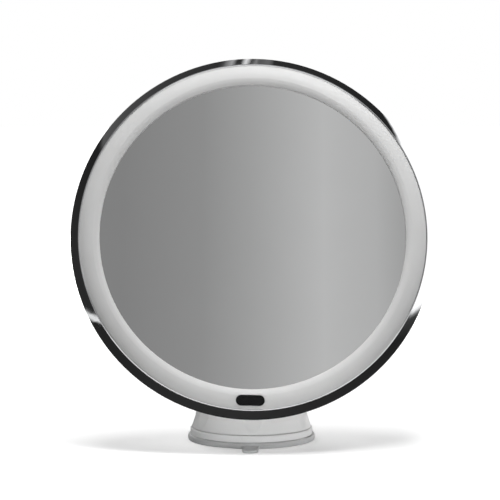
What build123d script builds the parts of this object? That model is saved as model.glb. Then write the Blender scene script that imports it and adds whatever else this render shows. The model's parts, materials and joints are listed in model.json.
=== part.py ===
from build123d import *
import math
import os

# Lighted vanity mirror on a twist-lock suction foot.
# Millimetres, +Z up, front towards -Y. The origin is the centre of the suction pad's underside.
# The head is drawn flat in its own frame: x to the right, y up the mirror, height towards the viewer,
# with the outer edge of the light ring at height 0.

# Fits and clearances
overrun = 1.0
seat_gap = 0.1
running_gap = 0.06
sliding_gap = 0.15
press_gap = 0.02

# Stance of the head
rim_clearance = 20.6
head_tilt = 12.0
head_roll = -1.2
tab_turn = -2.0

# Rim
rim_radius = 100.0
rim_width = 4.9
rim_nose = 0.2
rim_wall = 3.0
rim_rise = 0.6
rim_widest_depth = 7.0
rim_depth = 11.5
rim_back_inset = 1.5
rim_lip_depth = 2.9

# Light ring
ring_gap = 0.35
ring_band = 11.0
ring_crest = 2.3
ring_slope = 3.6
ring_drop = 1.5
ring_wall = 1.8
ring_lip_depth = 2.5
ring_lip = 1.2
ring_inner_leg = 1.3
ring_outer_leg = 1.4
ring_outer_step = 0.7
leg_gap = 0.4

# Mirror, its pad and its tray
glass_lap = 1.5
glass_thickness = 2.0
mirror_curve = 800.0
foam_thickness = 0.8
foam_inset = 4.0
tray_wall = 1.8
tray_edge_gap = 0.2

# Light board, switch and button
board_thickness = 1.2
board_gap = 0.2
led_count = 24
led_width = 3.5
led_depth = 2.8
led_height = 1.4
switch_size = 4.5
switch_height = 2.4
switch_bore = 1.3
plunger_rise = 0.8
plunger_length = 2.0
button_width = 15.4
button_height = 5.5
button_rise = 0.3
button_travel = 0.7
button_flange = 1.7
button_flange_depth = 4.2
button_flange_thickness = 0.8
button_stem_radius = 1.2

# Batteries, their box and their door
battery_radius = 5.25
battery_body = 43.3
battery_nub = 1.2
battery_nub_radius = 1.9
battery_count = 4
battery_pitch = 10.9
battery_gap = 0.2
spring_length = 3.4
spring_radius = 2.6
spring_wall = 0.5
plate_thickness = 0.5
box_wall = 1.2
box_gap = 0.5
box_flange = 3.4
box_low_edge = 24.0
door_lap = 0.9
door_gap = 0.25
door_hinge_gap = 0.85
dent_radius = 9.0
dent_depth = 0.9
door_corner = 2.5
hinge_barrel_radius = 1.0
hinge_barrel_length = 8.0
hinge_barrel_offset = 18.0
hinge_setback = 1.4
hinge_pin_radius = 0.5
hinge_pin_length = 13.0

# Rear housing and its fasteners
housing_wall = 2.2
housing_inset = 0.3
spigot_wall = 1.6
post_radius = 3.5
post_count = 4
post_inset = 7.0
post_start_angle = 45.0
housing_screw_head_radius = 2.4
housing_screw_head = 1.6
housing_screw_radius = 1.2
housing_screw_depth = 12.0
hub_radius = 19.0
hub_thickness = 3.9

# Control board
control_width = 44.0
control_depth = 20.0
control_thickness = 1.4
control_offset = 52.0
control_post_radius = 2.2
control_post_height = 4.0
control_screw_offset = 18.0
control_screw_radius = 0.9
control_screw_head_radius = 1.8
control_screw_head = 1.2
chip_size = 7.0
chip_height = 1.2
lead_radius = 0.6
lead_offset = 20.0
lead_sway = 2.4
lead_bend_share = 0.8
led_lead_offset = 8.0

# Roll joint of the head on its knuckle
roll_washer_thickness = 0.6
roll_flange_radius = 17.0
roll_flange = 3.0
roll_flange_chamfer = 0.6
roll_washer_inset = 1.0
roll_spigot_radius = 9.0
retainer_radius = 14.0
retainer_thickness = 2.2
retainer_screws = 3
retainer_screw_inset = 3.6
retainer_screw_radius = 1.2
retainer_screw_head_radius = 2.2
retainer_screw_head = 1.5
retainer_screw_length = 8.0

# Tilt hinge
eye_radius = 8.0
eye_clearance = 2.0
lug_radius = 7.0
lug_width = 8.0
lug_thickness = 12.0
friction_washer = 0.8
friction_washer_radius = 6.6
bolt_radius = 2.5
bolt_head_radius = 4.4
bolt_head = 2.0
nut_radius = 4.4
hinge_cap = 1.2
hinge_cap_recess = 0.8
ear_wall = 5.6

# Neck
foot_radius = 12.6
foot_floor = 2.6
neck_low_width = 23.0
neck_low_depth = 16.0
neck_top_depth = 14.6
neck_flare = 10.0
neck_wall = 2.2
neck_head_block = 18.0
neck_corner = 6.3
neck_cover_depth = 4.5
neck_cover_margin = 5.0
neck_screw_radius = 0.95
neck_screw_head_radius = 1.9
neck_screw_head = 1.2
neck_screw_post_radius = 2.7
neck_screw_margin = 9.0
collar_wall = 2.4
collar_height = 5.0
swivel_washer = 0.8
swivel_washer_radius = 5.0
swivel_screw_radius = 2.0
swivel_screw_head_radius = 3.6
swivel_screw_head = 2.2
swivel_screw_depth = 5.0
bearing_length = 4.2

# Suction pad and its pull tab
pad_radius = 36.0
pad_thickness = 3.5
pad_edge_round = 0.9
pad_hollow_radius = 31.0
pad_hollow = 1.2
tab_width = 9.0
tab_reach = 49.5
tab_thickness = 1.8

# Core of the foot
core_radius = 34.6
core_height = 3.7
core_step = 0.5
core_ceiling = 2.0
tube_radius = 9.0
tube_bore = 5.0
tube_cap = 6.0
tube_root_wall = 2.4

# Cup stem and cross pin
stem_gap = 0.1
stem_foot_radius = 9.4
stem_foot = 3.0
stem_foot_recess = 1.3
stem_lift = 4.0
stem_top_margin = 2.8
lift_margin = 0.6
pin_radius = 1.5
pin_overhang = 0.8
pin_slot_gap = 0.1

# Twist cap and cam sleeve
cap_gap = 0.3
cap_radius = 33.7
cap_side_inset = 2.0
cap_side_height = 6.5
cap_top_radius = 16.0
cap_wall = 4.2
cap_top_wall = 2.0
cap_turn = 80.0
sleeve_gap = 2.4
sleeve_wall = 2.0
sleeve_floor_gap = 0.4
sleeve_margin = 1.5
sleeve_top_margin = 0.5
cam_gap = 0.4
grip_count = 6
grip_radius = 18.0
grip_depth = 1.6
grip_drop = 5.0
retainer_ring = 1.0
retainer_ring_width = 3.0

# Places worked out from the sizes above, in the head's own frame
rim_inner = rim_radius - rim_width
rim_back_radius = rim_radius - rim_back_inset
ring_outer = rim_inner - ring_gap
ring_inner = ring_outer - ring_band
glass_radius = ring_inner + glass_lap
glass_edge = -ring_lip_depth - seat_gap
foam_edge = glass_edge - glass_thickness
tray_edge = foam_edge - foam_thickness
ledge_top = tray_edge - tray_wall
ledge_low = ledge_top - tray_wall
mirror_sag = mirror_curve - math.sqrt(mirror_curve**2 - glass_radius**2)
tray_back = ledge_top - mirror_sag
box_floor = tray_back - box_gap
battery_top = box_floor - box_wall - battery_gap
battery_axis = battery_top - battery_radius
housing_inner = battery_axis - battery_radius - battery_gap
housing_back = housing_inner - housing_wall
shoulder_radius = -housing_back - rim_depth
housing_radius = rim_back_radius - housing_inset
shoulder_centre = housing_radius - shoulder_radius
spigot_outer = rim_radius - rim_wall - tray_edge_gap
spigot_inner = spigot_outer - spigot_wall
spigot_top = -rim_lip_depth - tray_edge_gap
tray_radius = spigot_inner - tray_edge_gap
post_distance = tray_radius - post_inset
leg_outer = ring_outer - ring_outer_step
leg_inner = glass_radius + leg_gap
channel_outer = leg_outer - ring_outer_leg
channel_inner = leg_inner + ring_inner_leg
channel_middle = (channel_inner + channel_outer) / 2
board_top = ledge_top + board_thickness
switch_top = board_top + switch_height
plunger_top = switch_top + plunger_rise
button_flange_top = -ring_lip_depth + ring_lip - seat_gap

# Places of the battery box
battery_length = battery_body + battery_nub
box_inner_length = battery_length + spring_length + 2 * plate_thickness + 2 * battery_gap
box_inner_height = battery_count * battery_pitch
box_length = box_inner_length + 2 * box_wall
box_height = box_inner_height + 2 * box_wall
box_centre = box_low_edge + box_height / 2
door_length = box_length + 2 * door_lap
door_height = box_height
door_top = box_centre + door_height / 2
door_hinge_y = door_top + hinge_setback
door_hinge_z = (housing_inner + housing_back) / 2

# Places of the roll joint and the tilt hinge
roll_flange_top = housing_back - roll_washer_thickness
roll_flange_low = roll_flange_top - roll_flange
hub_top = housing_back + hub_thickness
spigot_end = hub_top + seat_gap
hinge_distance = eye_radius + eye_clearance - roll_flange_low
slot_half = lug_width / 2 + friction_washer + 2 * running_gap
ear_outer = slot_half + ear_wall

# Places of the foot
core_top = pad_thickness + core_height
stem_foot_low = pad_thickness - stem_foot_recess
stem_foot_top = stem_foot_low + stem_foot
well_top = stem_foot_top + stem_lift + lift_margin
root_top = well_top + core_ceiling
sleeve_low = root_top + sleeve_floor_gap
pin_height = sleeve_low + sleeve_margin + cam_gap + pin_radius
cap_ceiling = pin_height + stem_lift + pin_radius + cam_gap + sleeve_top_margin
cap_top = cap_ceiling + cap_top_wall
cap_low = core_top + cap_gap
stem_top = pin_height + stem_top_margin
bore_top = stem_top + stem_lift + lift_margin
retainer_low = cap_top + seat_gap
retainer_top = retainer_low + retainer_ring
foot_low = retainer_top + cap_gap
tube_top = max(foot_low + bearing_length, bore_top + tube_cap)
floor_low = tube_top + seat_gap
floor_top = floor_low + foot_floor
sleeve_inner = tube_radius + sleeve_gap
sleeve_outer = sleeve_inner + sleeve_wall
pin_half = sleeve_outer + pin_overhang
well_radius = stem_foot_radius + cap_gap

# Height of the tilt hinge, which keeps the rim clear of the surface
tilt_rise = hinge_distance * math.sin(math.radians(head_tilt))
tilt_drop = rim_radius * math.cos(math.radians(head_tilt))
hinge_height = rim_clearance + tilt_drop - tilt_rise
neck_block_low = hinge_height - neck_head_block

hinge_place = Pos(0, 0, hinge_height) * Rot(90 - head_tilt, 0, 0)
knuckle_place = hinge_place * Pos(0, 0, hinge_distance)
head_place = knuckle_place * Rot(0, 0, head_roll)

upright = (Align.CENTER, Align.CENTER, Align.MIN)


def post(radius, low, high, x=0, y=0):
    """Upright cylinder between two heights."""
    return Pos(x, y, low) * Cylinder(radius, high - low, align=upright)


def ring(inner, outer, low, high, x=0, y=0):
    """Upright tube between two heights."""
    return post(outer, low, high, x, y) - post(inner, low - overrun, high + overrun, x, y)


def slab(width, depth, low, high, x=0, y=0):
    """Box centred on a place, between two heights."""
    return Pos(x, y, low) * Box(width, depth, high - low, align=upright)


def rounded_slab(width, depth, corner, low, high, x=0, y=0):
    """Plate with round corners, between two heights."""
    return extrude(Pos(x, y, low) * RectangleRounded(width, depth, corner), amount=high - low)


def rod(radius, start, end, y=0, z=0):
    """Cylinder along X between two places."""
    return Pos(start, y, z) * Rot(0, 90, 0) * Cylinder(radius, end - start, align=upright)


def turned(edges):
    """Solid turned about the Z axis from edges drawn as (radius, height)."""
    return revolve(Plane.XZ * make_face(edges), Axis.Z)


def turned_polygon(*points):
    """Solid turned about the Z axis from straight edges."""
    return turned(Polyline(*points, close=True))


def group(solids):
    """Separate solids kept together under one name."""
    return Compound(children=list(solids))


def dish(radius, edge, thickness):
    """Plate that follows the mirror's curve; the edge height holds at the glass's radius."""
    def surface(place, front):
        sag = mirror_curve - math.sqrt(mirror_curve**2 - place**2)
        return front - mirror_sag + sag
    back = edge - thickness
    front_arc = ThreePointArc(
        (0, surface(0, edge)),
        (radius / 2, surface(radius / 2, edge)),
        (radius, surface(radius, edge)),
    )
    back_arc = ThreePointArc(
        (radius, surface(radius, back)),
        (radius / 2, surface(radius / 2, back)),
        (0, surface(0, back)),
    )
    outer = Line(front_arc @ 1, back_arc @ 0)
    axis = Line(back_arc @ 1, front_arc @ 0)
    return turned(front_arc + outer + back_arc + axis)


def chrome_rim():
    """Sloping rim with a narrow rounded nose round the light ring."""
    nose = CenterArc((rim_inner + rim_nose, rim_rise - rim_nose), rim_nose, 45, 135)
    flank = TangentArc(nose @ 0, (rim_radius, -rim_widest_depth), tangent=(1, -1))
    back = EllipticalCenterArc(
        (rim_back_radius, -rim_widest_depth), rim_back_inset, rim_depth - rim_widest_depth, -90, arc_size=90
    )
    inside = Polyline(
        nose @ 1,
        (rim_inner, -rim_lip_depth),
        (rim_radius - rim_wall, -rim_lip_depth),
        (rim_radius - rim_wall, -rim_depth),
        back @ 0,
    )
    return turned(back + flank + nose + inside)


def ring_outline():
    """Section of the light ring, from the outer leg over the crest to the inner leg."""
    crest = (ring_inner + ring_slope, ring_crest)
    swell = TangentArc(crest, (ring_outer, 0), tangent=(1, 0))
    slope = TangentArc(crest, (ring_inner, ring_crest - ring_drop), tangent=(-1, 0))
    rest = Polyline(
        slope @ 1,
        (ring_inner, -ring_lip_depth),
        (leg_inner, -ring_lip_depth),
        (leg_inner, ledge_top),
        (channel_inner, ledge_top),
        (channel_inner, ring_crest - ring_wall),
        (channel_outer, -ring_lip_depth + ring_lip),
        (channel_outer, ledge_top),
        (leg_outer, ledge_top),
        (leg_outer, -ring_wall),
        (ring_outer, -ring_wall),
        (ring_outer, 0),
    )
    return swell + slope + rest


def button_hole(low, high):
    """Pill-shaped opening for the button."""
    hole = Pos(0, -channel_middle, low) * SlotOverall(
        button_width + 2 * sliding_gap, button_height + 2 * sliding_gap
    )
    return extrude(hole, amount=high - low)


def diffuser_ring():
    """Opal light ring that stands on the tray with two legs."""
    return turned(ring_outline()) - button_hole(button_flange_top - overrun, ring_crest + overrun)


def power_button():
    """Pill-shaped button with a flange at each end and a stem to the switch."""
    pill = Pos(0, -channel_middle, button_flange_top - seat_gap) * SlotOverall(button_width, button_height)
    top = ring_crest - button_rise
    cap = extrude(pill, amount=top - button_flange_top + seat_gap)
    cap = fillet(cap.faces().sort_by(Axis.Z)[-1].edges(), button_rise)
    flange = slab(
        button_width + 2 * button_flange,
        button_flange_depth,
        button_flange_top - button_flange_thickness,
        button_flange_top,
        0,
        -channel_middle,
    )
    stem = post(
        button_stem_radius,
        plunger_top + press_gap,
        button_flange_top - button_flange_thickness,
        0,
        -channel_middle,
    )
    return cap + flange + stem


def led_board():
    """Ring-shaped board in the channel of the light ring."""
    return ring(channel_inner + board_gap, channel_outer - board_gap, ledge_top, board_top)


def leds():
    """Light-emitting packages round the board, with the gap between two of them at the button."""
    package = slab(led_depth, led_width, board_top, board_top + led_height)
    half_step = 360 / led_count / 2
    places = PolarLocations(channel_middle, led_count, start_angle=90 + half_step)
    return group(place * package for place in places)


def tact_switch():
    """Small switch on the light board behind the button."""
    body = slab(switch_size, switch_size, board_top, switch_top, 0, -channel_middle)
    bore_low = plunger_top - plunger_length - button_travel - running_gap
    bore = post(switch_bore + running_gap, bore_low, switch_top + overrun, 0, -channel_middle)
    return body - bore


def switch_plunger():
    """Plunger of the switch, which the button's stem pushes."""
    return post(switch_bore, plunger_top - plunger_length, plunger_top, 0, -channel_middle)


def mirror_tray():
    """Curved carrier of the mirror with a flat ledge round it for the light ring and its board."""
    shell = dish(glass_radius, tray_edge, tray_wall)
    ledge = ring(glass_radius - tray_wall, tray_radius, ledge_low, ledge_top)
    wall = ring(glass_radius - tray_wall, glass_radius, ledge_low, ledge_top + tray_wall / 2)
    lead_hole = post(
        lead_radius + sliding_gap,
        ledge_low - overrun,
        ledge_top + overrun,
        led_lead_offset,
        -channel_middle,
    )
    return shell + ledge + wall - lead_hole - screw_holes(housing_screw_radius + press_gap)


def post_places():
    """Places of the housing's screws."""
    return PolarLocations(post_distance, post_count, start_angle=post_start_angle)


def screw_holes(radius):
    """Holes along the housing's screws."""
    hole = post(radius, housing_back - overrun, ledge_top + overrun)
    return group(place * hole for place in post_places())


def housing_blank():
    """Filled outer form of the rear housing: a flat back with a quarter-round shoulder."""
    back = Line((0, housing_back), (shoulder_centre, housing_back))
    shoulder = CenterArc((shoulder_centre, -rim_depth), shoulder_radius, -90, 90)
    front = Polyline(shoulder @ 1, (0, -rim_depth), (0, housing_back))
    return turned(back + shoulder + front)


def housing_hollow():
    """Inner space of the rear housing."""
    inner_shoulder = shoulder_radius - housing_wall
    floor = Line((0, housing_inner), (shoulder_centre, housing_inner))
    shoulder = CenterArc((shoulder_centre, -rim_depth), inner_shoulder, -90, 90)
    front = Polyline(
        shoulder @ 1,
        (shoulder_centre + inner_shoulder, -rim_depth + overrun),
        (0, -rim_depth + overrun),
        (0, housing_inner),
    )
    return turned(floor + shoulder + front)


def rear_housing():
    """Rear shell with the spigot for the rim, screw posts, hub and battery opening."""
    blank = housing_blank()
    spigot = ring(spigot_inner, spigot_outer, -rim_depth - housing_wall / 2, spigot_top)
    posts = group(place * post(post_radius, housing_back, ledge_low) for place in post_places())
    post_top = post(post_radius, -rim_depth - overrun, ledge_low)
    tall_posts = group(place * post_top for place in post_places())
    hub = post(hub_radius, housing_back, hub_top)
    control_posts = group(
        post(
            control_post_radius,
            housing_back,
            housing_inner + control_post_height,
            side,
            -control_offset,
        )
        for side in (-control_screw_offset, control_screw_offset)
    )
    shell = blank - housing_hollow() + spigot + (posts & blank) + tall_posts + hub + control_posts
    head_seat = ledge_low - housing_screw_depth
    screw_heads = group(
        place * post(housing_screw_head_radius + sliding_gap, housing_back - overrun, head_seat)
        for place in post_places()
    )
    control_post_top = housing_inner + control_post_height
    control_holes = group(
        post(
            control_screw_radius + press_gap,
            housing_inner,
            control_post_top + overrun,
            side,
            -control_offset,
        )
        for side in (-control_screw_offset, control_screw_offset)
    )
    opening = rounded_slab(
        door_length + 2 * door_gap,
        door_height + door_gap + door_hinge_gap,
        door_corner + door_gap,
        housing_back - overrun,
        housing_inner + overrun,
        0,
        box_centre + (door_hinge_gap - door_gap) / 2,
    )
    spindle_hole = post(roll_spigot_radius + running_gap, housing_back - overrun, hub_top + overrun)
    shell = shell - screw_holes(housing_screw_radius + sliding_gap) - screw_heads - control_holes
    return shell - opening - spindle_hole - door_notches()


def door_notches():
    """Pockets in the housing for the door's barrels, with the holes for their pins."""
    reach = hinge_setback + hinge_barrel_radius + 2 * door_gap
    pockets = [
        slab(
            hinge_barrel_length + 2 * door_gap,
            reach + overrun,
            housing_back - overrun,
            housing_inner + overrun,
            side,
            door_top + (reach - overrun) / 2,
        )
        for side in (-hinge_barrel_offset, hinge_barrel_offset)
    ]
    pin_holes = [
        rod(
            hinge_pin_radius + press_gap,
            side - hinge_pin_length / 2,
            side + hinge_pin_length / 2,
            door_hinge_y,
            door_hinge_z,
        )
        for side in (-hinge_barrel_offset, hinge_barrel_offset)
    ]
    return group(pockets) + group(pin_holes)


def battery_door():
    """Flush door that swings about its outer edge on two barrels, with a finger dent."""
    plate = rounded_slab(door_length, door_height, door_corner, housing_back, housing_inner, 0, box_centre)
    barrels = []
    for side in (-hinge_barrel_offset, hinge_barrel_offset):
        start = side - hinge_barrel_length / 2
        end = start + hinge_barrel_length
        barrels.append(rod(hinge_barrel_radius, start, end, door_hinge_y, door_hinge_z))
        barrels.append(
            slab(
                hinge_barrel_length,
                hinge_setback + door_corner,
                door_hinge_z - hinge_barrel_radius,
                door_hinge_z + hinge_barrel_radius,
                side,
                door_hinge_y - (hinge_setback + door_corner) / 2,
            )
        )
    dent_height = housing_back - dent_radius + dent_depth
    door = plate - Pos(0, box_centre - door_height / 2, dent_height) * Sphere(dent_radius)
    for barrel in barrels:
        door = door + barrel
    for side in (-hinge_barrel_offset, hinge_barrel_offset):
        start = side - hinge_pin_length / 2
        door = door - rod(
            hinge_pin_radius + running_gap, start, start + hinge_pin_length, door_hinge_y, door_hinge_z
        )
    return door


def door_pins():
    """Two steel pins through the door's barrels."""
    half = hinge_pin_length / 2
    return group(
        rod(hinge_pin_radius, side - half, side + half, door_hinge_y, door_hinge_z)
        for side in (-hinge_barrel_offset, hinge_barrel_offset)
    )


def battery_box():
    """Tray for the batteries, open towards the door, with a flange on the housing's inside."""
    outer = slab(box_length, box_height, housing_inner, box_floor, 0, box_centre)
    flange = slab(
        box_length + 2 * box_flange,
        box_height + 2 * box_flange,
        housing_inner,
        housing_inner + box_wall,
        0,
        box_centre,
    )
    inner = slab(
        box_inner_length,
        box_inner_height,
        housing_inner - overrun,
        box_floor - box_wall,
        0,
        box_centre,
    )
    hub_room = post(hub_radius + sliding_gap, housing_inner - overrun, hub_top + overrun)
    return outer + flange - inner - hub_room


def battery_y(index):
    """Height of one battery's axis up the mirror."""
    return box_centre + (index - (battery_count - 1) / 2) * battery_pitch


def battery_side(index):
    """Neighbouring batteries lie head to tail."""
    return 1 if index % 2 == 0 else -1


def battery(index):
    """One cell with its nub."""
    side = battery_side(index)
    inner_end = box_inner_length / 2 - plate_thickness - battery_gap
    body_end = inner_end - battery_nub
    body_start = body_end - battery_body
    body = rod(battery_radius, body_start, body_end)
    nub = rod(battery_nub_radius, body_end, inner_end)
    cell = body + nub
    turn = Rot(0, 0, 0) if side > 0 else Rot(0, 0, 180)
    return Pos(0, battery_y(index), battery_axis) * turn * cell


def battery_springs():
    """Contact springs at the flat ends of the batteries, as plain sleeves."""
    springs = []
    for index in range(battery_count):
        wall = -box_inner_length / 2 + plate_thickness
        end = wall + spring_length
        hollow = rod(spring_radius - spring_wall, wall - overrun, end + overrun)
        sleeve = rod(spring_radius, wall, end) - hollow
        turn = Rot(0, 0, 0) if battery_side(index) > 0 else Rot(0, 0, 180)
        springs.append(Pos(0, battery_y(index), battery_axis) * turn * sleeve)
    return group(springs)


def battery_plates():
    """Contact plates on both end walls of the box."""
    plates = []
    reach = battery_pitch - 2 * box_wall
    for index in range(battery_count):
        for side in (-1, 1):
            place = side * (box_inner_length - plate_thickness) / 2
            low = battery_axis - reach / 2
            plates.append(slab(plate_thickness, reach, low, low + reach, place, battery_y(index)))
    return group(plates)


def housing_screws():
    """Screws from the back through the posts into the tray."""
    seat = ledge_low - housing_screw_depth
    screws = []
    for place in post_places():
        head = post(housing_screw_head_radius, seat - housing_screw_head, seat)
        shank = post(housing_screw_radius, seat, ledge_top - seat_gap)
        recess_low = seat - housing_screw_head - overrun
        recess = post(housing_screw_radius, recess_low, seat - housing_screw_head / 2)
        screws.append(place * (head + shank - recess))
    return group(screws)


def control_board():
    """Driver board on two posts, with its chip and connector."""
    low = housing_inner + control_post_height
    top = low + control_thickness
    board = slab(control_width, control_depth, low, top, 0, -control_offset)
    chip = slab(chip_size, chip_size, top, top + chip_height, 0, -control_offset)
    holes = group(
        post(control_screw_radius + press_gap, low - overrun, top + overrun, side, -control_offset)
        for side in (-control_screw_offset, control_screw_offset)
    )
    return board + chip - holes


def board_screws():
    """Screws of the driver board."""
    top = housing_inner + control_post_height + control_thickness
    screws = []
    for side in (-control_screw_offset, control_screw_offset):
        shank = post(control_screw_radius, housing_inner + seat_gap, top, side, -control_offset)
        head = post(control_screw_head_radius, top, top + control_screw_head, side, -control_offset)
        screws.append(shank + head)
    return group(screws)


def lead(points, bend):
    """Insulated wire along straight runs and round bends."""
    path = FilletPolyline(*points, radius=bend)
    start = Plane(origin=path @ 0, z_dir=path % 0)
    return sweep(start * Circle(lead_radius), path)


def battery_leads():
    """Two wires from the battery box to the driver board."""
    height = housing_inner + control_post_height + control_thickness / 2
    wires = []
    for side in (-1, 1):
        board_edge = -control_offset + control_depth / 2
        box_edge = box_low_edge
        run = (box_edge - board_edge) / 4
        sway = lead_offset + lead_sway
        wires.append(
            lead(
                [
                    (side * lead_offset, box_edge, height),
                    (side * lead_offset, box_edge - run, height),
                    (side * sway, box_edge - 2 * run, height),
                    (side * lead_offset, board_edge + run, height),
                    (side * lead_offset, board_edge, height),
                ],
                run,
            )
        )
    return group(wires)


def led_lead():
    """Wire from the driver board through the tray to the light board."""
    board_face = housing_inner + control_post_height + control_thickness
    middle = (board_face + ledge_low) / 2
    bend = (middle - board_face) * lead_bend_share
    start_y = -control_offset - control_depth / 2 + 3 * lead_radius
    return lead(
        [
            (led_lead_offset, start_y, board_face),
            (led_lead_offset, start_y, middle),
            (led_lead_offset, -channel_middle, middle),
            (led_lead_offset, -channel_middle, ledge_top),
        ],
        bend,
    )


def roll_washer():
    """Friction washer between the head and its knuckle."""
    return ring(
        roll_spigot_radius + running_gap,
        roll_flange_radius - roll_washer_inset,
        roll_flange_top,
        housing_back - press_gap,
    )


def retainer_screw_places():
    """Places of the screws that hold the retainer plate."""
    return PolarLocations(roll_spigot_radius - retainer_screw_inset, retainer_screws, start_angle=90)


def tilt_knuckle():
    """Flange and spigot that carry the head, with the lug of the tilt hinge behind."""
    flange = post(roll_flange_radius, roll_flange_low, roll_flange_top)
    flange = chamfer(flange.edges().sort_by(Axis.Z)[0], roll_flange_chamfer)
    spigot = post(roll_spigot_radius, roll_flange_low, spigot_end)
    lug = slab(lug_width, lug_thickness, -hinge_distance, roll_flange_low)
    eye = rod(lug_radius, -lug_width / 2, lug_width / 2, 0, -hinge_distance)
    bore = rod(bolt_radius + running_gap, -lug_width, lug_width, 0, -hinge_distance)
    holes = group(
        place
        * post(retainer_screw_radius + press_gap, spigot_end - retainer_screw_length, spigot_end + overrun)
        for place in retainer_screw_places()
    )
    return flange + spigot + lug + eye - bore - holes


def roll_retainer():
    """Plate inside the head, screwed to the end of the spigot."""
    top = spigot_end + retainer_thickness
    holes = group(
        place * post(retainer_screw_radius + press_gap, spigot_end - overrun, top + overrun)
        for place in retainer_screw_places()
    )
    return post(retainer_radius, spigot_end, top) - holes


def retainer_screw_set():
    """Three screws of the retainer plate."""
    top = spigot_end + retainer_thickness
    low = spigot_end - retainer_screw_length + seat_gap
    screw = post(retainer_screw_radius, low, top) + post(
        retainer_screw_head_radius, top, top + retainer_screw_head
    )
    return group(place * screw for place in retainer_screw_places())


def friction_washers():
    """Washers on both sides of the knuckle's lug."""
    inner_face = lug_width / 2 + running_gap
    washer = rod(friction_washer_radius, inner_face, inner_face + friction_washer, 0, hinge_height)
    bore = rod(bolt_radius + running_gap, 0, ear_outer, 0, hinge_height)
    right = washer - bore
    return group([right, Rot(0, 0, 180) * right])


def pocket_depth():
    """Depth of the pocket for the bolt's head and its cover."""
    return bolt_head + hinge_cap_recess + seat_gap


def hinge_bolt():
    """Bolt along the tilt axis."""
    seat = ear_outer - pocket_depth()
    shank = rod(bolt_radius, -ear_outer + hinge_cap_recess + 2 * seat_gap, seat, 0, hinge_height)
    head = rod(bolt_head_radius, seat, seat + bolt_head, 0, hinge_height)
    return shank + head


def hinge_nut():
    """Hexagon nut on the bolt."""
    seat = ear_outer - pocket_depth()
    hexagon = Pos(-seat, 0, hinge_height) * Rot(0, -90, 0) * RegularPolygon(nut_radius, 6)
    nut = extrude(hexagon, amount=bolt_head - seat_gap)
    return nut - rod(bolt_radius + press_gap, -ear_outer - overrun, 0, 0, hinge_height)


def hinge_caps():
    """Round covers over the bolt's head and the nut."""
    start = ear_outer - hinge_cap_recess
    cap = rod(bolt_head_radius + seat_gap, start, start + hinge_cap, 0, hinge_height)
    cap = fillet(cap.edges().sort_by(Axis.X)[-1], hinge_cap_recess / 2)
    return group([cap, Rot(0, 0, 180) * cap])


def neck_blank(inset):
    """Tapering oval neck, drawn in all round by an inset."""
    low = floor_top if inset else foot_low
    foot = post(foot_radius - inset, low, floor_top + seat_gap)
    flare_top = floor_top + neck_flare
    low_oval = Ellipse(neck_low_width / 2 - inset, neck_low_depth / 2 - inset)
    top_oval = Ellipse(ear_outer - inset, neck_top_depth / 2 - inset)
    top = neck_block_low - inset
    flare = loft([Pos(0, 0, floor_top) * Circle(foot_radius - inset), Pos(0, 0, flare_top) * low_oval])
    arm = loft([Pos(0, 0, flare_top) * low_oval, Pos(0, 0, top) * top_oval])
    return foot + flare + arm


def cover_box(shrink):
    """Space behind the neck that the cover takes."""
    low = floor_top + neck_cover_margin + shrink
    high = neck_block_low - neck_cover_margin - shrink
    front = neck_low_depth / 2 - neck_cover_depth + shrink
    depth = neck_low_depth
    return slab(2 * neck_low_width, depth, low, high, 0, front + depth / 2)


def neck_screw_heights():
    """Heights of the two screws of the neck's cover."""
    low = floor_top + neck_cover_margin + neck_screw_margin
    high = neck_block_low - neck_cover_margin - neck_screw_margin
    return (low, high)


def back_rod(radius, start, end, z):
    """Cylinder along Y between two places."""
    return Pos(0, start, z) * Rot(-90, 0, 0) * Cylinder(radius, end - start, align=upright)


def neck_arm():
    """Neck with its swivel foot below and the two ears of the tilt hinge on top."""
    arm = neck_blank(0) - neck_blank(neck_wall) - cover_box(0)
    block = slab(2 * ear_outer, neck_top_depth, neck_block_low, hinge_height)
    block = block & (Pos(0, 0, neck_block_low) * extrude(top_outline(), amount=neck_head_block))
    eye = rod(eye_radius, -ear_outer, ear_outer, 0, hinge_height)
    slot_low = hinge_height - eye_radius - seat_gap
    slot = slab(2 * slot_half, 2 * eye_radius + 2 * overrun, slot_low, hinge_height + eye_radius + overrun)
    seat = ear_outer - pocket_depth()
    pockets = rod(bolt_head_radius + seat_gap + press_gap, seat, ear_outer + overrun, 0, hinge_height)
    pockets = pockets + Rot(0, 0, 180) * pockets
    bore = rod(bolt_radius + press_gap, -ear_outer, ear_outer, 0, hinge_height)
    cover_front = neck_low_depth / 2 - neck_cover_depth
    posts = group(
        back_rod(neck_screw_post_radius, -neck_top_depth / 2 + neck_wall / 2, cover_front, z)
        - back_rod(neck_screw_radius + press_gap, 0, cover_front + overrun, z)
        for z in neck_screw_heights()
    )
    tube_hole = post(tube_radius + running_gap, foot_low - overrun, floor_low)
    screw_hole = post(swivel_screw_radius + running_gap, floor_low - overrun, floor_top + overrun)
    return arm + block + eye + posts - slot - pockets - bore - tube_hole - screw_hole


def top_outline():
    """Rounded outline of the neck where it meets the hinge."""
    return RectangleRounded(2 * ear_outer, neck_top_depth, neck_corner)


def neck_cover():
    """Rear cover of the neck."""
    cover = (neck_blank(0) & cover_box(seat_gap)) - neck_blank(neck_wall)
    front = neck_low_depth / 2 - neck_cover_depth + seat_gap
    for z in neck_screw_heights():
        cover = cover + (back_rod(neck_screw_post_radius, front, neck_low_depth, z) & neck_blank(0))
        cover = cover - back_rod(neck_screw_radius + press_gap, 0, neck_low_depth, z)
        cover = cover - back_rod(neck_screw_head_radius + sliding_gap, screw_seat(), neck_low_depth, z)
    return cover


def screw_seat():
    """Depth at which the heads of the cover's screws sit."""
    return neck_top_depth / 2 - neck_screw_head - neck_wall / 2


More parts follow.
